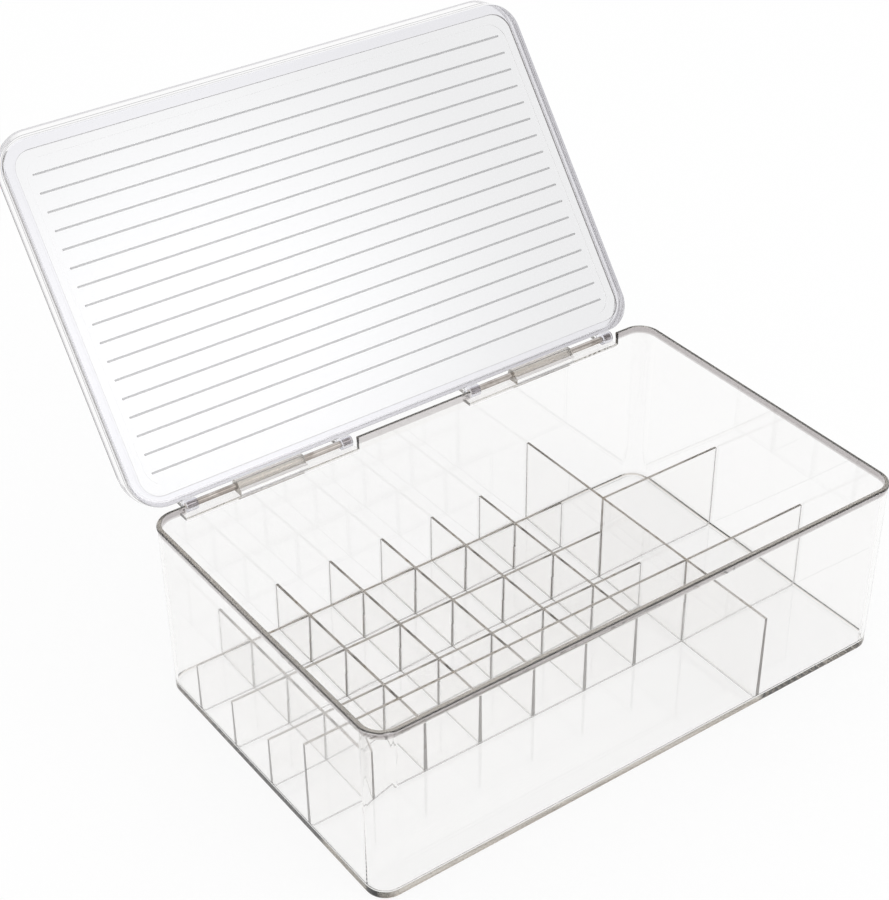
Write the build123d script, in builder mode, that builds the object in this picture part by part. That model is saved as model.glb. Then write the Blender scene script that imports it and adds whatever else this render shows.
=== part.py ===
from build123d import *
from math import atan, cos, degrees, radians, sin
import os

# A clear moulded organizer box with a hinged tray lid and fixed dividers.
# Millimetres, +X along the long side, +Y to the hinges, +Z up.
# The origin is the centre of the underside, and the lid stands open on its stop.

# Tub
floor_length = 267.0
floor_width = 162.0
floor_thickness = 2.4
inner_depth = 86.0
wall_thickness = 1.9
draft_slope = 0.012
floor_corner_radius = 7.5
bead_height = 3.4
bead_proud = 0.5
bead_overrun = 0.1
foot_radius = 1.4
floor_fillet = 2.0
rim_outer_round = 1.0
rim_inner_round = 0.4

# Dividers
strip_foot = 2.0
strip_top = 1.3
low_strip_height = 26.0
tall_strip_height = 45.0
column_pitch = 28.5
low_columns = 6
low_rows = 3
tall_column_x = 64.5
row_pitch = 28.7
back_row_y = 54.1
joint_gap = 0.05
strip_corner_cut = 1.6
slot_middle = 0.5
slot_overrun = 0.1

# Lid, measured up from the tub rim when it is shut
open_angle = 128.0
lid_gap = 0.3
lid_length = 271.8
lid_front = 83.2
lid_back = 83.9
lid_corner_radius = 14.0
lip_height = 7.8
lip_flare_side = 1.3
lip_flare_front = 5.8
lip_flare_back = 0.2
lip_corner_radius = 19.5
lip_thickness = 1.7
contact_band_width = 5.0
panel_underside = 1.2
panel_top = 2.6
second_step_inset = 9.0
second_step_depth = 0.3
tray_round = 3.0
lip_round = 0.5
band_round = 0.5
step_round = 0.35
rib_count = 17
rib_pitch = 8.5
rib_length = 247.5
rib_radius = 0.55
rib_sink = 0.15
last_rib_from_back = 15.5

# Hinges
hinge_x = 75.0
pin_diameter = 3.0
pin_length = 84.0
pin_chamfer = 0.4
pin_beyond_rim = 2.1
pin_below_rim = 3.0
pin_running_gap = 0.05
knuckle_radius = 2.9
knuckle_length = 34.0
notch_length = 88.0
notch_depth = 6.2
shelf_reach = 3.2
shelf_thickness = 1.6
lug_width = 5.0
lug_end_gap = 2.0
lug_root = 7.0

# Worked-out places
draft_angle = degrees(atan(draft_slope))
rim_z = floor_thickness + inner_depth
rim_spread = draft_slope * inner_depth
rim_corner_radius = floor_corner_radius + rim_spread + wall_thickness + bead_proud
rim_length = floor_length + 2 * (rim_spread + wall_thickness + bead_proud)
rim_width = floor_width + 2 * (rim_spread + wall_thickness + bead_proud)
rim_wall_inner_y = floor_width / 2 + rim_spread
pin_y = rim_width / 2 + pin_beyond_rim
pin_z = rim_z - pin_below_rim
tall_strip_y = back_row_y - low_rows * row_pitch
column_x = [tall_column_x - (low_columns - i) * column_pitch for i in range(low_columns)]
row_y = [back_row_y - i * row_pitch for i in range(low_rows)]
slot_from_above = (slot_middle, 1 + slot_overrun)
slot_from_below = (-slot_overrun, slot_middle)

# The lid's own plane turns about the pin axis, with its Z away from the tub when shut
lid_turn = radians(open_angle)
lid_plane = Plane(origin=(0, pin_y, pin_z), x_dir=(1, 0, 0), z_dir=(0, sin(lid_turn), cos(lid_turn)))
under_lid = pin_below_rim + lid_gap


def lid_side_plane(x):
    """The plane across the lid at x, with the lid's depth as its X and the lid's height as its Y."""
    return Plane(origin=(x, pin_y, pin_z), x_dir=lid_plane.y_dir, z_dir=(1, 0, 0))


def side_plane(x):
    """The plane across the tub at x, with depth as its X and height as its Y."""
    return Plane(origin=(x, 0, 0), x_dir=(0, 1, 0), z_dir=(1, 0, 0))


def strip_half(floor_half, height):
    """Where a strip's end meets the drafted wall, at that height above the floor."""
    return floor_half + draft_slope * height - joint_gap


def wall_end(floor_half, height, side):
    """A strip's end against a wall, from the floor up, with its foot cut to clear the floor's round."""
    foot = floor_thickness + joint_gap
    return [
        (side * (strip_half(floor_half, 0) - strip_corner_cut), foot),
        (side * strip_half(floor_half, 0), foot + strip_corner_cut),
        (side * strip_half(floor_half, height), floor_thickness + height),
    ]


def half_thickness(share):
    """Half a strip's thickness at that share of its height."""
    return (strip_foot + share * (strip_top - strip_foot)) / 2


def butt_end(place, side, height):
    """A strip's end against that side of a tall strip, from the floor up."""
    return [
        (place + side * (half_thickness(0) + joint_gap), floor_thickness + joint_gap),
        (place + side * (half_thickness(height / tall_strip_height) + joint_gap), floor_thickness + height),
    ]


def slot_corners(low, high, height):
    """A slot for a crossing strip, from one share of the strips' height to another."""
    low_reach = half_thickness(low) + joint_gap
    high_reach = half_thickness(high) + joint_gap
    return [
        (-low_reach, low * height),
        (low_reach, low * height),
        (high_reach, high * height),
        (-high_reach, high * height),
    ]


def strip_section(plane, place, height):
    """A strip's cross section: full thickness at its foot, drawn in to its top."""
    with BuildSketch(plane) as section:
        with BuildLine():
            Polyline(
                (place - half_thickness(0), floor_thickness),
                (place + half_thickness(0), floor_thickness),
                (place + half_thickness(1), floor_thickness + height),
                (place - half_thickness(1), floor_thickness + height),
                close=True,
            )
        make_face()
    return section.sketch


os.makedirs("parts", exist_ok=True)
pin_radius = pin_diameter / 2
half_length = floor_length / 2
half_width = floor_width / 2

# Tub: one drafted shell that flares to a bead round its rim
with BuildPart() as tub:
    with BuildSketch(Plane.XY) as foot_outline:
        RectangleRounded(
            floor_length + 2 * wall_thickness - 2 * draft_slope * floor_thickness,
            floor_width + 2 * wall_thickness - 2 * draft_slope * floor_thickness,
            floor_corner_radius + wall_thickness,
        )
    extrude(amount=rim_z, taper=-draft_angle)
    fillet(tub.faces().sort_by(Axis.Z)[0].edges(), foot_radius)
    bead_slope = draft_slope + bead_proud / bead_height
    bead_rise = (1 + bead_overrun) * bead_height
    bead_reach = bead_slope * bead_rise
    with BuildSketch(Plane.XY.offset(rim_z - bead_rise)) as bead_outline:
        RectangleRounded(rim_length - 2 * bead_reach, rim_width - 2 * bead_reach,
                         rim_corner_radius - bead_reach)
    extrude(amount=bead_rise, taper=-degrees(atan(bead_slope)))
    with BuildSketch(Plane.XY.offset(floor_thickness)) as floor_outline:
        RectangleRounded(floor_length, floor_width, floor_corner_radius)
    extrude(amount=inner_depth, taper=-draft_angle, mode=Mode.SUBTRACT)
    fillet(tub.faces().filter_by(Axis.Z).sort_by(Axis.Z)[1].edges(), floor_fillet)
    fillet(tub.faces().filter_by(Axis.Z).sort_by(Axis.Z)[-1].outer_wire().edges(), rim_outer_round)
    fillet(tub.faces().filter_by(Axis.Z).sort_by(Axis.Z)[-1].inner_wires().edges(), rim_inner_round)

    # A recess for each hinge, cut down through the rim and the back wall
    notch_inner_y = rim_wall_inner_y - wall_thickness
    with BuildSketch(Plane.XY.offset(rim_z - notch_depth)) as notch_outline:
        with Locations((-hinge_x, rim_width / 2), (hinge_x, rim_width / 2)):
            Rectangle(notch_length, 2 * (rim_width / 2 - notch_inner_y))
    extrude(amount=notch_depth, mode=Mode.SUBTRACT)

    # A shelf under each pin, and the knuckle that stands on it
    shelf_top = rim_z - notch_depth
    shelf_outer = pin_y + shelf_reach
    wall_middle_y = rim_wall_inner_y + wall_thickness / 2
    for side in (-1, 1):
        with BuildSketch(side_plane(side * hinge_x)) as shelf_profile:
            with Locations(((wall_middle_y + shelf_outer) / 2, shelf_top - shelf_thickness / 2)):
                Rectangle(shelf_outer - wall_middle_y, shelf_thickness)
        extrude(amount=notch_length / 2, both=True)
        with BuildSketch(side_plane(side * hinge_x)) as knuckle_profile:
            with Locations((pin_y, pin_z)):
                Circle(knuckle_radius)
            with Locations((pin_y, (pin_z + shelf_top) / 2)):
                Rectangle(2 * knuckle_radius, pin_z - shelf_top)
            with Locations(((pin_y + rim_wall_inner_y) / 2, (pin_z + shelf_top) / 2)):
                Rectangle(pin_y - rim_wall_inner_y, pin_z - shelf_top)
        extrude(amount=knuckle_length / 2, both=True)
        with BuildSketch(side_plane(side * hinge_x)) as knuckle_bore:
            with Locations((pin_y, pin_z)):
                Circle(pin_radius)
        extrude(amount=knuckle_length / 2, both=True, mode=Mode.SUBTRACT)
tub.part.label = "tub"
export_step(tub.part, "parts/tub.step")

# Low lengthwise strips: slots from above take the low cross strips
row_names = ("divider_row_back", "divider_row_middle", "divider_row_front")
for row_name, y in zip(row_names, row_y):
    with BuildPart() as row_strip:
        with BuildSketch(Plane.XZ.offset(-y)) as row_profile:
            with BuildLine():
                Polyline(
                    *butt_end(tall_column_x, -1, low_strip_height),
                    *reversed(wall_end(half_length, low_strip_height, -1)),
                    close=True,
                )
            make_face()
            with Locations(*[(x, floor_thickness) for x in column_x]):
                Polygon(*slot_corners(*slot_from_above, low_strip_height), align=None, mode=Mode.SUBTRACT)
        extrude(amount=strip_foot, both=True)
        row_section = strip_section(side_plane(0), y, low_strip_height)
        extrude(row_section, amount=floor_length, both=True, mode=Mode.INTERSECT)
    row_strip.part.label = row_name
    export_step(row_strip.part, f"parts/{row_name}.step")

# Tall lengthwise strip, wall to wall, slotted from above for the tall cross strip
with BuildPart() as long_tall:
    with BuildSketch(Plane.XZ.offset(-tall_strip_y)) as long_profile:
        with BuildLine():
            Polyline(
                *wall_end(half_length, tall_strip_height, 1),
                *reversed(wall_end(half_length, tall_strip_height, -1)),
                close=True,
            )
        make_face()
        with Locations((tall_column_x, floor_thickness)):
            Polygon(*slot_corners(*slot_from_above, tall_strip_height), align=None, mode=Mode.SUBTRACT)
    extrude(amount=strip_foot, both=True)
    long_section = strip_section(side_plane(0), tall_strip_y, tall_strip_height)
    extrude(long_section, amount=floor_length, both=True, mode=Mode.INTERSECT)
long_tall.part.label = "divider_long_tall"
export_step(long_tall.part, "parts/divider_long_tall.step")

# Tall short strip that splits the right end
with BuildPart() as right_tall:
    with BuildSketch(Plane.XZ.offset(-row_y[1])) as right_profile:
        with BuildLine():
            Polyline(
                *wall_end(half_length, tall_strip_height, 1),
                *reversed(butt_end(tall_column_x, 1, tall_strip_height)),
                close=True,
            )
        make_face()
    extrude(amount=strip_foot, both=True)
    right_section = strip_section(side_plane(0), row_y[1], tall_strip_height)
    extrude(right_section, amount=floor_length, both=True, mode=Mode.INTERSECT)
right_tall.part.label = "divider_right_tall"
export_step(right_tall.part, "parts/divider_right_tall.step")

# Low cross strips: slots from below drop over the low lengthwise strips
for number, x in enumerate(column_x, start=1):
    with BuildPart() as column_strip:
        with BuildSketch(side_plane(x)) as column_profile:
            with BuildLine():
                Polyline(
                    *wall_end(half_width, low_strip_height, 1),
                    *reversed(butt_end(tall_strip_y, 1, low_strip_height)),
                    close=True,
                )
            make_face()
            with Locations(*[(y, floor_thickness) for y in row_y]):
                Polygon(*slot_corners(*slot_from_below, low_strip_height), align=None, mode=Mode.SUBTRACT)
        extrude(amount=strip_foot, both=True)
        column_section = strip_section(Plane.XZ, x, low_strip_height)
        extrude(column_section, amount=floor_width, both=True, mode=Mode.INTERSECT)
    column_strip.part.label = f"divider_column_{number}"
    export_step(column_strip.part, f"parts/divider_column_{number}.step")

# Tall cross strip, back wall to front wall
with BuildPart() as column_tall:
    with BuildSketch(side_plane(tall_column_x)) as tall_profile:
        with BuildLine():
            Polyline(
                *wall_end(half_width, tall_strip_height, 1),
                *reversed(wall_end(half_width, tall_strip_height, -1)),
                close=True,
            )
        make_face()
        with Locations((tall_strip_y, floor_thickness)):
            Polygon(*slot_corners(*slot_from_below, tall_strip_height), align=None, mode=Mode.SUBTRACT)
    extrude(amount=strip_foot, both=True)
    tall_section = strip_section(Plane.XZ, tall_column_x, tall_strip_height)
    extrude(tall_section, amount=floor_width, both=True, mode=Mode.INTERSECT)
column_tall.part.label = "divider_column_tall"
export_step(column_tall.part, "parts/divider_column_tall.step")

# Lid: a shallow tray whose lip flares out, most at the front where fingers lift it
lid_width = lid_front + lid_back
lid_mid_y = (lid_back - lid_front) / 2 - pin_y
lip_length = lid_length + 2 * lip_flare_side
lip_width = lid_width + lip_flare_front + lip_flare_back
lip_mid_y = lid_mid_y + (lip_flare_back - lip_flare_front) / 2
lip_top = pin_below_rim + lip_height
panel_face = pin_below_rim + panel_top
flare_done = (panel_top - lid_gap) / (lip_height - lid_gap)
with BuildPart() as lid:
    with BuildSketch(lid_plane.offset(under_lid)) as contact_outline:
        with Locations((0, lid_mid_y)):
            RectangleRounded(lid_length, lid_width, lid_corner_radius)
    with BuildSketch(lid_plane.offset(lip_top)) as lip_outline:
        with Locations((0, lip_mid_y)):
            RectangleRounded(lip_length, lip_width, lip_corner_radius)
    loft()

    # The tray above the panel
    with BuildSketch(lid_plane.offset(panel_face)) as tray_floor:
        with Locations((0, lid_mid_y + flare_done * (lip_mid_y - lid_mid_y))):
            RectangleRounded(
                lid_length + 2 * flare_done * lip_flare_side - 2 * lip_thickness,
                lid_width + flare_done * (lip_flare_front + lip_flare_back) - 2 * lip_thickness,
                lid_corner_radius - lip_thickness,
            )
    with BuildSketch(lid_plane.offset(lip_top)) as tray_mouth:
        with Locations((0, lip_mid_y)):
            RectangleRounded(lip_length - 2 * lip_thickness, lip_width - 2 * lip_thickness,
                             lip_corner_radius - lip_thickness)
    loft(sections=[tray_floor.sketch, tray_mouth.sketch], mode=Mode.SUBTRACT)
    lid_height = Axis(lid_plane.origin, lid_plane.z_dir)
    fillet(lid.faces().filter_by(lid_height).sort_by(lid_height)[1].edges(), tray_round)
    fillet(lid.faces().filter_by(lid_height).sort_by(lid_height)[-1].edges(), lip_round)
    fillet(lid.faces().filter_by(lid_height).sort_by(lid_height)[0].edges(), band_round)

    # The shallow step inside the band that meets the rim
    with BuildSketch(lid_plane.offset(under_lid)) as step_outline:
        with Locations((0, lid_mid_y)):
            RectangleRounded(lid_length - 2 * contact_band_width, lid_width - 2 * contact_band_width,
                             lid_corner_radius - contact_band_width)
    extrude(amount=panel_underside - lid_gap, mode=Mode.SUBTRACT)
    fillet(lid.faces().filter_by(lid_height).sort_by(lid_height)[0].inner_wires().edges(), step_round)
    with BuildSketch(lid_plane.offset(pin_below_rim + panel_underside)) as second_step_outline:
        with Locations((0, lid_mid_y)):
            RectangleRounded(lid_length - 2 * second_step_inset, lid_width - 2 * second_step_inset,
                             lid_corner_radius - contact_band_width)
    extrude(amount=second_step_depth, mode=Mode.SUBTRACT)

    # Round-backed ribs with round ends along the top of the panel
    first_rib_y = lid_back - pin_y - last_rib_from_back
    straight_rib = rib_length - 2 * rib_radius
    for i in range(rib_count):
        rib_axis = Plane(
            origin=lid_plane.from_local_coords((0, first_rib_y - i * rib_pitch, panel_face - rib_sink)),
            x_dir=lid_plane.y_dir,
            z_dir=lid_plane.x_dir,
        )
        with BuildSketch(rib_axis) as rib_section:
            Circle(rib_radius)
        extrude(amount=straight_rib / 2, both=True)
        with Locations(rib_axis.offset(-straight_rib / 2), rib_axis.offset(straight_rib / 2)):
            Sphere(rib_radius)

    # Hinge lugs: a ring round the pin and a gusset whose flat face lands on the shelf
    lug_offset = notch_length / 2 - lug_end_gap - lug_width / 2
    lid_edge_y = lid_back - pin_y
    gusset_turn = radians(open_angle - 90)
    gusset_normal = (cos(gusset_turn), sin(gusset_turn))
    gusset_top = (knuckle_radius - gusset_normal[0] * lid_edge_y) / gusset_normal[1]
    lug_centres = [side * hinge_x + end * lug_offset for side in (-1, 1) for end in (-1, 1)]
    for x in lug_centres:
        with BuildSketch(lid_side_plane(x)) as lug_profile:
            Circle(knuckle_radius)
            with BuildLine():
                Polyline(
                    (-knuckle_radius, 0),
                    (0, 0),
                    (knuckle_radius * gusset_normal[0], knuckle_radius * gusset_normal[1]),
                    (lid_edge_y, gusset_top),
                    (lid_edge_y - lip_thickness / 2, gusset_top),
                    (lid_edge_y - lip_thickness / 2, panel_face),
                    (-lug_root, panel_face),
                    (-lug_root, under_lid),
                    (-knuckle_radius, under_lid),
                    close=True,
                )
            make_face()
        extrude(amount=lug_width / 2, both=True)
        with BuildSketch(lid_side_plane(x)) as lug_bore:
            Circle(pin_radius + pin_running_gap)
        extrude(amount=lug_width / 2, both=True, mode=Mode.SUBTRACT)
lid.part.label = "lid"
export_step(lid.part, "parts/lid.step")

# Steel hinge pins
for pin_name, x in (("hinge_pin_left", -hinge_x), ("hinge_pin_right", hinge_x)):
    with BuildPart() as pin:
        with BuildSketch(side_plane(x)) as pin_outline:
            with Locations((pin_y, pin_z)):
                Circle(pin_radius)
        extrude(amount=pin_length / 2, both=True)
        chamfer(pin.edges().filter_by(GeomType.CIRCLE), pin_chamfer)
    pin.part.label = pin_name
    export_step(pin.part, f"parts/{pin_name}.step")
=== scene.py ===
from math import cos, radians, sin

import bpy
from mathutils import Matrix, Vector


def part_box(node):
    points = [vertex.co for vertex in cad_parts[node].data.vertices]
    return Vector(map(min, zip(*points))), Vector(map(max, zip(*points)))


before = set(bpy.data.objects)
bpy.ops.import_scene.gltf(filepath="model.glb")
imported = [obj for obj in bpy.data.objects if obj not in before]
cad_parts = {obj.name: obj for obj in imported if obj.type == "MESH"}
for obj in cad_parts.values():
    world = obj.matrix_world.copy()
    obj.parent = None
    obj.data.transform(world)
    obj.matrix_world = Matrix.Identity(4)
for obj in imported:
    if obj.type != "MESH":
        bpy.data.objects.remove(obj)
bpy.ops.object.select_all(action="DESELECT")
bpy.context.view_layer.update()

# Tub.
# One deep box of water-clear styrene, moulded in one shot with its thickened rim and the two
# hinge shelves. The plastic is clear through its walls. Its rim bead, rim top and foot are painted
# grey-brown: painted shade, standing in for the darker light that these edges bend towards the eye.


def join(tree, out_socket, in_socket):
    """Links two sockets of a node tree."""
    tree.links.new(out_socket, in_socket)


def open_group(name, inputs, outputs):
    """A new node group with its sockets, and its two end nodes."""
    group = bpy.data.node_groups.new(name, "ShaderNodeTree")
    for socket_name, kind, default in inputs:
        socket = group.interface.new_socket(name=socket_name, in_out="INPUT", socket_type=kind)
        socket.default_value = default
    for socket_name, kind in outputs:
        group.interface.new_socket(name=socket_name, in_out="OUTPUT", socket_type=kind)
    return group, group.nodes.new("NodeGroupInput"), group.nodes.new("NodeGroupOutput")


def smooth_step(tree, value, low, high):
    """A smooth step from 0 at low to 1 at high, each a number or a socket."""
    step = tree.nodes.new("ShaderNodeMapRange")
    step.interpolation_type = "SMOOTHSTEP"
    join(tree, value, step.inputs["Value"])
    for name, edge in (("From Min", low), ("From Max", high)):
        if isinstance(edge, float):
            step.inputs[name].default_value = edge
        else:
            join(tree, edge, step.inputs[name])
    return step.outputs["Result"]


def dot_with(tree, first, second):
    """The dot product of two vector sockets."""
    node = tree.nodes.new("ShaderNodeVectorMath")
    node.operation = "DOT_PRODUCT"
    join(tree, first, node.inputs[0])
    join(tree, second, node.inputs[1])
    return node.outputs["Value"]


def without_sign(tree, value):
    """The size of a number, without its sign."""
    node = tree.nodes.new("ShaderNodeMath")
    node.operation = "ABSOLUTE"
    join(tree, value, node.inputs[0])
    return node.outputs["Value"]


def combine(tree, operation, first, second):
    """One arithmetic node on a socket and another socket or number."""
    node = tree.nodes.new("ShaderNodeMath")
    node.operation = operation
    join(tree, first, node.inputs[0])
    if isinstance(second, float):
        node.inputs[1].default_value = second
    else:
        join(tree, second, node.inputs[1])
    return node.outputs["Value"]


def blend_tones(tree, where, first, second):
    """The first colour where the mask is 0 and the second where it is 1, each a tone or a socket."""
    mix = tree.nodes.new("ShaderNodeMix")
    mix.data_type = "RGBA"
    first_colour, second_colour, blended = mix.inputs[6], mix.inputs[7], mix.outputs[2]
    join(tree, where, mix.inputs["Factor"])
    for colour, socket in ((first, first_colour), (second, second_colour)):
        if isinstance(colour, tuple):
            socket.default_value = (*colour, 1.0)
        else:
            join(tree, colour, socket)
    return blended


def mask_group(name):
    """A new mask group, whose Mask goes from 0 at Low to 1 at High along a Direction."""
    return open_group(
        name,
        (("Direction", "NodeSocketVector", (0, 0, 1)), ("Low", "NodeSocketFloat", 0.0),
         ("High", "NodeSocketFloat", 1.0)),
        (("Mask", "NodeSocketFloat"),),
    )


def height_group():
    """How far along the direction a place on the piece is."""
    group, inside, outside = mask_group("height_mask")
    place = group.nodes.new("ShaderNodeTexCoord")
    along = dot_with(group, place.outputs["Object"], inside.outputs["Direction"])
    height = smooth_step(group, along, inside.outputs["Low"], inside.outputs["High"])
    join(group, height, outside.inputs["Mask"])
    return group


def facing_group():
    """How squarely the surface faces along the direction, or against it."""
    group, inside, outside = mask_group("facing_mask")
    place = group.nodes.new("ShaderNodeTexCoord")
    along = without_sign(group, dot_with(group, place.outputs["Normal"], inside.outputs["Direction"]))
    facing = smooth_step(group, along, inside.outputs["Low"], inside.outputs["High"])
    join(group, facing, outside.inputs["Mask"])
    return group


def moulding_group():
    """Waviness and rubs of a thin clear moulding, as heights and a roughness that vary over it."""
    group, inside, outside = open_group(
        "moulding_surface",
        (("Wave size", "NodeSocketFloat", 18.0), ("Wave height", "NodeSocketFloat", 0.5),
         ("Smoothest", "NodeSocketFloat", 0.01), ("Roughest", "NodeSocketFloat", 0.06)),
        (("Height", "NodeSocketFloat"), ("Roughness", "NodeSocketFloat")),
    )
    place = group.nodes.new("ShaderNodeTexCoord")
    wave = group.nodes.new("ShaderNodeTexNoise")
    wave.inputs["Detail"].default_value = 1.0
    rub = group.nodes.new("ShaderNodeTexNoise")
    rub.inputs["Scale"].default_value = 45.0
    rub.inputs["Detail"].default_value = 5.0
    rub.inputs["Roughness"].default_value = 0.7
    rough = group.nodes.new("ShaderNodeMapRange")
    rough.inputs["From Min"].default_value = 0.45
    rough.inputs["From Max"].default_value = 0.75
    join(group, place.outputs["Object"], wave.inputs["Vector"])
    join(group, place.outputs["Object"], rub.inputs["Vector"])
    join(group, inside.outputs["Wave size"], wave.inputs["Scale"])
    join(group, rub.outputs["Fac"], rough.inputs["Value"])
    join(group, inside.outputs["Smoothest"], rough.inputs["To Min"])
    join(group, inside.outputs["Roughest"], rough.inputs["To Max"])
    wave_lift = combine(group, "MULTIPLY", wave.outputs["Fac"], inside.outputs["Wave height"])
    join(group, wave_lift, outside.inputs["Height"])
    join(group, rough.outputs["Result"], outside.inputs["Roughness"])
    return group


height_mask = height_group()
facing_mask = facing_group()
moulding_surface = moulding_group()
styrene_ior = 1.59
through_thick_parts = (0.5, 0.45, 0.36, 1.0)
absorption = 5.0


def clear_plastic(name, wave_height, smoothest, roughest):
    """Water-clear moulded plastic: bent light, a slight waviness, and a faint tint through thick parts."""
    material = bpy.data.materials.new(name)
    material.use_nodes = True
    tree = material.node_tree
    shader = tree.nodes["Principled BSDF"]
    shader.inputs["Transmission Weight"].default_value = 1.0
    shader.inputs["Metallic"].default_value = 0.0
    shader.inputs["IOR"].default_value = styrene_ior
    surface = tree.nodes.new("ShaderNodeGroup")
    surface.node_tree = moulding_surface
    surface.inputs["Wave height"].default_value = wave_height
    surface.inputs["Smoothest"].default_value = smoothest
    surface.inputs["Roughest"].default_value = roughest
    bump = tree.nodes.new("ShaderNodeBump")
    bump.inputs["Strength"].default_value = 0.15
    bump.inputs["Distance"].default_value = 0.0004
    join(tree, surface.outputs["Height"], bump.inputs["Height"])
    join(tree, bump.outputs["Normal"], shader.inputs["Normal"])
    join(tree, surface.outputs["Roughness"], shader.inputs["Roughness"])
    depth_tint = tree.nodes.new("ShaderNodeVolumeAbsorption")
    depth_tint.inputs["Color"].default_value = through_thick_parts
    depth_tint.inputs["Density"].default_value = absorption
    join(tree, depth_tint.outputs["Volume"], tree.nodes["Material Output"].inputs["Volume"])
    return material


def mask(material, group, direction, low, high):
    """One of the place masks, set in a material: 0 at low and 1 at high."""
    node = material.node_tree.nodes.new("ShaderNodeGroup")
    node.node_tree = group
    node.inputs["Direction"].default_value = direction
    node.inputs["Low"].default_value = low
    node.inputs["High"].default_value = high
    return node.outputs["Mask"]


def both(material, first, second):
    """The mask of the places where two masks overlap."""
    return combine(material.node_tree, "MULTIPLY", first, second)


def tone(material, wall_tone, *marks):
    """Base colour: the tone of the open wall, then each (mask, tone) laid over it in turn."""
    tree = material.node_tree
    colour = wall_tone
    for where, mark_tone in marks:
        colour = blend_tones(tree, where, colour, mark_tone)
    join(tree, colour, tree.nodes["Principled BSDF"].inputs["Base Color"])


def roughen(material, where, level):
    """Makes the surface at least that rough where a mask says."""
    tree = material.node_tree
    shader = tree.nodes["Principled BSDF"]
    polished = shader.inputs["Roughness"].links[0].from_socket
    sanded = combine(tree, "MULTIPLY", where, level)
    join(tree, combine(tree, "MAXIMUM", polished, sanded), shader.inputs["Roughness"])


def dress(node, material):
    """Gives a CAD node its finish."""
    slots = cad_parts[node].data.materials
    slots.clear()
    slots.append(material)


up = (0, 0, 1)
tub_low, tub_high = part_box("tub")
pin_low, pin_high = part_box("hinge_pin_left")
rim_top = tub_high[2]
back_rim = -tub_low[1]
pin_end = pin_low[0]
bead_height = 0.0034
bead_foot = rim_top - bead_height
# Each pair is where a mark is absent and where it is full, in metres or as a share of facing
bead_fade = (bead_foot - 0.0003, bead_foot + 0.0006)
rim_fade = (rim_top - 0.0007, rim_top - 0.0005)
rim_level = (0.8, 0.97)
foot_fade = (0.0026, 0.0014)
foot_steep = (0.95, 0.6)
behind_wall = (back_rim - 0.00086, back_rim - 0.00046)
hinge_depth = (rim_top - 0.0075, rim_top - 0.007)
hinge_span = (pin_end - 0.0025, pin_end - 0.002)
tub_tone = (0.99, 0.988, 0.986)
# Painted shade: grey-brown tones for the bead's face, the rim's top and the foot, where the clear edges
# show darker light.
bead_painted_shade = (0.5, 0.47, 0.47)
rim_painted_shade = (0.47, 0.435, 0.4)
foot_painted_shade = (0.6, 0.55, 0.5)
knuckle_tone = (0.98, 0.965, 0.95)

tub_plastic = clear_plastic("tub_plastic", wave_height=0.5, smoothest=0.01, roughest=0.05)
bead = mask(tub_plastic, height_mask, up, *bead_fade)
rim_height = mask(tub_plastic, height_mask, up, *rim_fade)
rim_edge = both(tub_plastic, rim_height, mask(tub_plastic, facing_mask, up, *rim_level))
foot_height = mask(tub_plastic, height_mask, up, *foot_fade)
foot_edge = both(tub_plastic, foot_height, mask(tub_plastic, facing_mask, up, *foot_steep))
knuckle = mask(tub_plastic, height_mask, (0, 1, 0), *behind_wall)
knuckle = both(tub_plastic, knuckle, mask(tub_plastic, height_mask, up, *hinge_depth))
for inward in ((1, 0, 0), (-1, 0, 0)):
    knuckle = both(tub_plastic, knuckle, mask(tub_plastic, height_mask, inward, *hinge_span))
# The bead, rim and foot marks laid here are painted shade; the knuckle tone is the plastic's own.
tone(
    tub_plastic, tub_tone,
    (bead, bead_painted_shade),
    (rim_edge, rim_painted_shade),
    (foot_edge, foot_painted_shade),
    (knuckle, knuckle_tone),
)
roughen(tub_plastic, knuckle, level=0.15)
roughen(tub_plastic, rim_edge, level=0.2)
dress("tub", tub_plastic)

# Dividers.
# Strips of the same styrene, slotted into each other and cemented to the tub. Their moulded
# edges are a little rough, and carry painted shade: a grey-brown tone that draws them as lines
# round clear panes.
pane_tone = (0.98, 0.977, 0.973)
# Painted shade: the grey-brown tone of the strips' edges stands in for the darker light those edges pipe.
strip_edge_painted_shade = (0.72, 0.675, 0.63)
cement_tone = (0.42, 0.35, 0.27)
edge_turn = (0.8, 0.5)
speck_share = (0.55, 0.7)


def cement_specks(material, edge):
    """Brown specks that the solvent cement leaves here and there along the strips' edges."""
    tree = material.node_tree
    place = tree.nodes.new("ShaderNodeTexCoord")
    specks = tree.nodes.new("ShaderNodeTexNoise")
    specks.inputs["Scale"].default_value = 240.0
    specks.inputs["Detail"].default_value = 2.0
    join(tree, place.outputs["Object"], specks.inputs["Vector"])
    return both(material, edge, smooth_step(tree, specks.outputs["Fac"], *speck_share))


def dress_strips(material_name, across, names):
    """One finish for the strips that run the same way, whose panes face across."""
    strip_plastic = clear_plastic(material_name, wave_height=0.4, smoothest=0.01, roughest=0.06)
    strip_edge = mask(strip_plastic, facing_mask, across, *edge_turn)
    cement = cement_specks(strip_plastic, strip_edge)
    # The edge tone is painted shade; the cement specks over it are the strips' own marks.
    tone(strip_plastic, pane_tone, (strip_edge, strip_edge_painted_shade), (cement, cement_tone))
    roughen(strip_plastic, strip_edge, level=0.45)
    for name in names:
        dress(name, strip_plastic)


strips = [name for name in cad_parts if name.startswith("divider_")]
cross_strips = [name for name in strips if name.startswith("divider_column_")]
long_strips = [name for name in strips if name not in cross_strips]
dress_strips("row_strip_plastic", (0, 1, 0), long_strips)
dress_strips("column_strip_plastic", (1, 0, 0), cross_strips)

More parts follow.
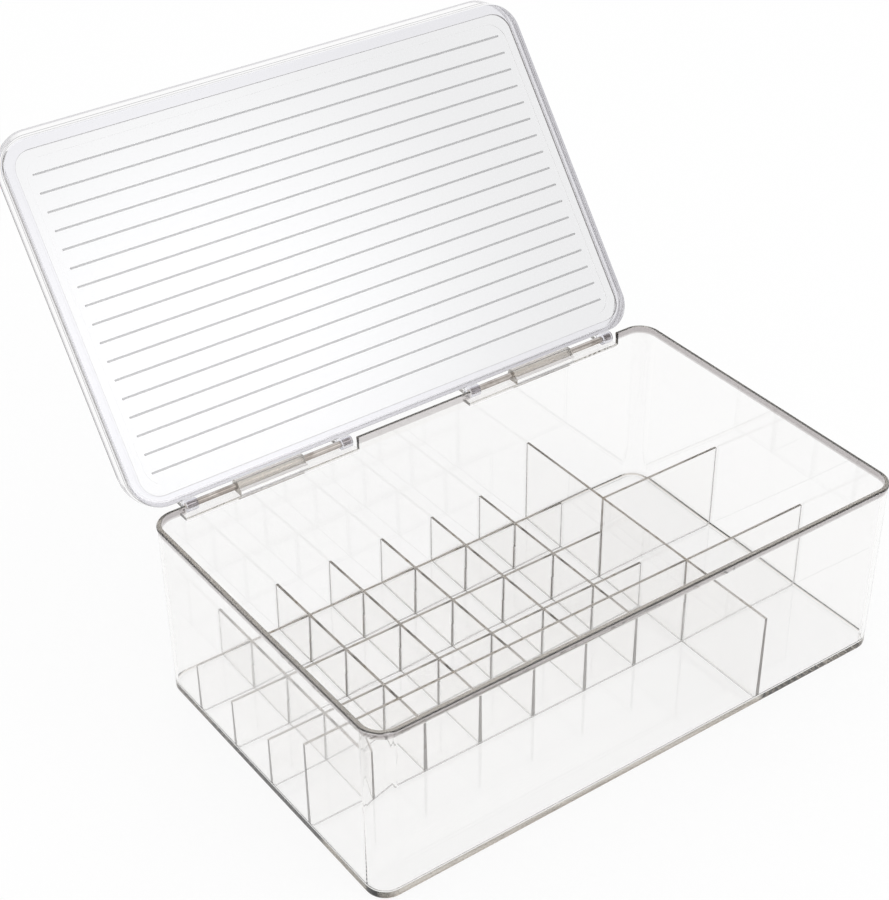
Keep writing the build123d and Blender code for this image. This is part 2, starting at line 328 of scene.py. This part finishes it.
# Lid.
# A shallow clear tray with a flared lip and seventeen fine ribs, hung on the two pins. It is
# thinner and a little cooler in tone than the tub. Its panel, contact band, steps, lip and ribs carry
# painted shade, greys that stand in for the dimmer light they reflect and bend. Its heights are taken
# along its own up, as it lies when shut: first the face that meets the rim, then the steps, the
# panel's back and the lip.
open_turn = radians(128.0)
lid_up = (0.0, sin(open_turn), cos(open_turn))
to_hinge = (0.0, cos(open_turn), -sin(open_turn))
to_free_edge = (0.0, -cos(open_turn), sin(open_turn))
pin_below_rim = 0.003
shut_gap = 0.0003
panel_rise = 0.0023
lip_rise = 0.0075
pin_to_edge = 0.0026
lid_depth = 0.1671
outer_wall = 0.0025
wall_fade = 0.001

pin_y = (pin_low[1] + pin_high[1]) / 2
pin_z = (pin_low[2] + pin_high[2]) / 2
contact_face = pin_y * lid_up[1] + pin_z * lid_up[2] + pin_below_rim + shut_gap
panel_back = contact_face + panel_rise
lip_top = contact_face + lip_rise
hinge_side = pin_y * to_hinge[1] + pin_z * to_hinge[2] - pin_to_edge
free_side = hinge_side - lid_depth
lid_low, lid_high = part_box("lid")

# The same kind of pairs, in metres up the lid, or as a share of facing
panel_fade = (panel_back + 0.0001, panel_back - 0.0001)
panel_level = (0.97, 0.995)
rib_foot = (panel_back + 0.00003, panel_back + 0.00006)
rib_height = (panel_back + 0.0006, panel_back + 0.0005)
band_fade = (contact_face + 0.0003, contact_face + 0.0001)
step_fade = (contact_face + 0.0012, contact_face + 0.0009)
step_steep = (0.95, 0.75)
lip_fade = (lip_top - 0.001, lip_top - 0.0003)
lid_tone = (0.99, 0.985, 0.985)
# Painted shade: the panel, contact band, steps, lip and ribs are toned grey to stand in for the dimmer
# light they reflect and bend.
panel_painted_shade = (0.885, 0.89, 0.905)
band_painted_shade = (0.82, 0.82, 0.875)
step_painted_shade = (0.3, 0.29, 0.3)
lip_painted_shade = (0.5, 0.49, 0.52)
rib_painted_shade = (0.28, 0.28, 0.29)

lid_plastic = clear_plastic("lid_plastic", wave_height=0.5, smoothest=0.01, roughest=0.06)
panel_slab = mask(lid_plastic, height_mask, lid_up, *panel_fade)
panel = both(lid_plastic, panel_slab, mask(lid_plastic, facing_mask, lid_up, *panel_level))
above_panel = mask(lid_plastic, height_mask, lid_up, *rib_foot)
rib = both(lid_plastic, above_panel, mask(lid_plastic, height_mask, lid_up, *rib_height))
contact_band = mask(lid_plastic, height_mask, lid_up, *band_fade)
step_height = mask(lid_plastic, height_mask, lid_up, *step_fade)
step_side = both(lid_plastic, step_height, mask(lid_plastic, facing_mask, lid_up, *step_steep))
for inward, edge in (
    ((1, 0, 0), lid_low[0]),
    ((-1, 0, 0), -lid_high[0]),
    (to_hinge, free_side),
    (to_free_edge, -hinge_side),
):
    wall_inside = edge + outer_wall
    away_from_edge = mask(lid_plastic, height_mask, inward, wall_inside, wall_inside + wall_fade)
    step_side = both(lid_plastic, step_side, away_from_edge)
lip_edge = mask(lid_plastic, height_mask, lid_up, *lip_fade)
# Every mark laid here over the lid's own tone is painted shade.
tone(
    lid_plastic, lid_tone,
    (panel, panel_painted_shade),
    (contact_band, band_painted_shade),
    (step_side, step_painted_shade),
    (lip_edge, lip_painted_shade),
    (rib, rib_painted_shade),
)
roughen(lid_plastic, step_side, level=0.3)
roughen(lid_plastic, rib, level=0.2)
roughen(lid_plastic, lip_edge, level=0.15)
dress("lid", lid_plastic)

# Hinge pins.
# Two bright drawn steel rods, pressed into the tub's knuckles; the lid turns on their ends.
# Drawing leaves fine lines along them, and handling dulls them in patches. Where a knuckle grips
# them they carry painted light, a near-white tone that makes the knuckles read pale.
bright_tone = (0.6, 0.56, 0.53)
dull_tone = (0.42, 0.38, 0.35)
# Painted light: where a knuckle grips the pins they are near-white, so that the knuckles read pale.
gripped_painted_light = (0.95, 0.925, 0.89)
dull_share = (0.4, 0.7)
line_stretch = (0.03, 1.0, 1.0)
pin_middle = (pin_low[0] + pin_high[0]) / 2
knuckle_half = 0.017
grip_fade = (knuckle_half + 0.0002, knuckle_half - 0.0002)

pin_steel = bpy.data.materials.new("pin_steel")
pin_steel.use_nodes = True
steel_tree = pin_steel.node_tree
steel_shader = steel_tree.nodes["Principled BSDF"]
steel_shader.inputs["Metallic"].default_value = 1.0
steel_place = steel_tree.nodes.new("ShaderNodeTexCoord").outputs["Object"]
along_rod = steel_tree.nodes.new("ShaderNodeVectorMath")
along_rod.operation = "MULTIPLY"
along_rod.inputs[1].default_value = line_stretch
join(steel_tree, steel_place, along_rod.inputs[0])
draw_lines = steel_tree.nodes.new("ShaderNodeTexNoise")
draw_lines.inputs["Scale"].default_value = 4000.0
draw_lines.inputs["Detail"].default_value = 2.0
join(steel_tree, along_rod.outputs["Vector"], draw_lines.inputs["Vector"])
dull_patches = steel_tree.nodes.new("ShaderNodeTexNoise")
dull_patches.inputs["Scale"].default_value = 160.0
join(steel_tree, steel_place, dull_patches.inputs["Vector"])
dulled = smooth_step(steel_tree, dull_patches.outputs["Fac"], *dull_share)
handled_tone = blend_tones(steel_tree, dulled, bright_tone, dull_tone)
rod_place = steel_tree.nodes.new("ShaderNodeSeparateXYZ")
join(steel_tree, steel_place, rod_place.inputs["Vector"])
from_box_middle = without_sign(steel_tree, rod_place.outputs["X"])
from_knuckle = without_sign(steel_tree, combine(steel_tree, "ADD", from_box_middle, pin_middle))
# Painted light on the steel inside the knuckles.
gripped = smooth_step(steel_tree, from_knuckle, *grip_fade)
steel_tone = blend_tones(steel_tree, gripped, handled_tone, gripped_painted_light)
join(steel_tree, steel_tone, steel_shader.inputs["Base Color"])
steel_rough = steel_tree.nodes.new("ShaderNodeMapRange")
steel_rough.inputs["To Min"].default_value = 0.1
steel_rough.inputs["To Max"].default_value = 0.3
join(steel_tree, draw_lines.outputs["Fac"], steel_rough.inputs["Value"])
join(steel_tree, steel_rough.outputs["Result"], steel_shader.inputs["Roughness"])
steel_bump = steel_tree.nodes.new("ShaderNodeBump")
steel_bump.inputs["Strength"].default_value = 0.2
steel_bump.inputs["Distance"].default_value = 0.00005
join(steel_tree, draw_lines.outputs["Fac"], steel_bump.inputs["Height"])
join(steel_tree, steel_bump.outputs["Normal"], steel_shader.inputs["Normal"])
for node in ("hinge_pin_left", "hinge_pin_right"):
    dress(node, pin_steel)

# Floor.
# A plain white studio table. Most of its white is its own glow, so that the object's shadow
# stays soft, and steel and clear plastic show the same floor as the camera.
floor_reach = 3.0
floor_height = -0.0004
shadow_depth = 0.12
bpy.ops.mesh.primitive_plane_add(size=2 * floor_reach, location=(0, 0, floor_height))
studio_floor = bpy.context.object
studio_floor.name = "studio_floor"
floor_white = bpy.data.materials.new("floor_white")
floor_white.use_nodes = True
floor_tree = floor_white.node_tree
floor_shader = floor_tree.nodes["Principled BSDF"]
floor_shader.inputs["Base Color"].default_value = (0.95, 0.95, 0.95, 1.0)
floor_shader.inputs["Roughness"].default_value = 0.9
floor_shader.inputs["Specular IOR Level"].default_value = 0.0
studio_floor.data.materials.append(floor_white)
glow = floor_tree.nodes.new("ShaderNodeEmission")
seen = floor_tree.nodes.new("ShaderNodeLightPath")
through = combine(floor_tree, "MAXIMUM", seen.outputs["Is Transmission Ray"], seen.outputs["Is Glossy Ray"])
through = combine(floor_tree, "MAXIMUM", through, seen.outputs["Is Camera Ray"])
own_white = combine(floor_tree, "MULTIPLY", through, 1.0 - shadow_depth)
floor_mix = floor_tree.nodes.new("ShaderNodeMixShader")
join(floor_tree, own_white, floor_mix.inputs["Fac"])
join(floor_tree, floor_shader.outputs["BSDF"], floor_mix.inputs[1])
join(floor_tree, glow.outputs["Emission"], floor_mix.inputs[2])
join(floor_tree, floor_mix.outputs["Shader"], floor_tree.nodes["Material Output"].inputs["Surface"])

# Studio.
# White walls low down, and a warm grey ceiling that dims towards the front of the room. The
# background is white to the camera; only clear plastic and steel see the ceiling.
wall_white = (1.0, 1.0, 1.0)
ceiling_grey = (0.42, 0.405, 0.39)
ceiling_fade = (0.1, 0.42)
front_fade = (-0.2, 0.35)
half_a_bounce = 0.5
world = bpy.data.worlds.new("studio_white")
bpy.context.scene.world = world
world.use_nodes = True
studio = world.node_tree
backdrop = studio.nodes["Background"]
backdrop.inputs["Strength"].default_value = 1.0
heading = studio.nodes.new("ShaderNodeTexCoord").outputs["Generated"]
parts_of_heading = studio.nodes.new("ShaderNodeSeparateXYZ")
join(studio, heading, parts_of_heading.inputs["Vector"])
ceiling = smooth_step(studio, parts_of_heading.outputs["Z"], *ceiling_fade)
ray = studio.nodes.new("ShaderNodeLightPath")
mirrored = combine(studio, "MAXIMUM", ray.outputs["Is Glossy Ray"], ray.outputs["Is Transmission Ray"])
not_lighting = combine(studio, "LESS_THAN", ray.outputs["Diffuse Depth"], half_a_bounce)
dimming = combine(studio, "MULTIPLY", ceiling, combine(studio, "MULTIPLY", mirrored, not_lighting))
toward_front = combine(studio, "MULTIPLY", parts_of_heading.outputs["Y"], -1.0)
dimming = combine(studio, "MULTIPLY", dimming, smooth_step(studio, toward_front, *front_fade))
join(studio, blend_tones(studio, dimming, wall_white, ceiling_grey), backdrop.inputs["Color"])

# Soft box.
# One broad lamp above the front right corner, bright in its middle and fading to its edges.
lamp_place = Vector((0.39, -0.72, 0.85))
lamp_target = Vector((0.0, 0.1, 0.1))
face_middle = (0.5, 0.5, 0.0)
lamp_fade = (0.5, 0.08)
soft_box = bpy.data.lights.new("soft_box", "AREA")
soft_box.size = 0.85
soft_box.energy = 4.0
soft_box.use_nodes = True
lamp_tree = soft_box.node_tree
lamp_face = lamp_tree.nodes.new("ShaderNodeNewGeometry")
from_middle = lamp_tree.nodes.new("ShaderNodeVectorMath")
from_middle.operation = "DISTANCE"
from_middle.inputs[1].default_value = face_middle
join(lamp_tree, lamp_face.outputs["Parametric"], from_middle.inputs[0])
lamp_strength = smooth_step(lamp_tree, from_middle.outputs["Value"], *lamp_fade)
join(lamp_tree, lamp_strength, lamp_tree.nodes["Emission"].inputs["Strength"])
lamp_holder = bpy.data.objects.new("soft_box", soft_box)
bpy.context.scene.collection.objects.link(lamp_holder)
lamp_holder.location = lamp_place
lamp_holder.rotation_euler = (lamp_target - lamp_place).to_track_quat("-Z", "Y").to_euler()

# Camera.
# A three-quarter view from the front left and above, as the photograph was taken.
camera_azimuth = radians(-35.78)
camera_elevation = radians(34.57)
camera_roll = radians(-0.35)
camera_distance = 0.9065
picture_centre = Vector((0.0022, 0.0632, 0.0787))
camera_data = bpy.data.cameras.new("photo_camera")
camera_data.sensor_width = 36.0
camera_data.lens = 80.93
camera = bpy.data.objects.new("photo_camera", camera_data)
bpy.context.scene.collection.objects.link(camera)
look = Vector((
    -sin(camera_azimuth) * cos(camera_elevation),
    cos(camera_azimuth) * cos(camera_elevation),
    -sin(camera_elevation),
))
level = look.cross(Vector(up)).normalized()
rise = level.cross(look)
camera_right = level * cos(camera_roll) + rise * sin(camera_roll)
camera_up = rise * cos(camera_roll) - level * sin(camera_roll)
turn = Matrix((camera_right, camera_up, -look)).transposed()
camera.matrix_world = Matrix.Translation(picture_centre - look * camera_distance) @ turn.to_4x4()
bpy.context.scene.camera = camera

# Picture.
# Light goes through many clear layers before it leaves the box, so it may turn often.
clear_layers = 64
scene = bpy.context.scene
scene.view_settings.view_transform = "Standard"
scene.cycles.max_bounces = clear_layers
scene.cycles.transmission_bounces = clear_layers
scene.cycles.glossy_bounces = clear_layers
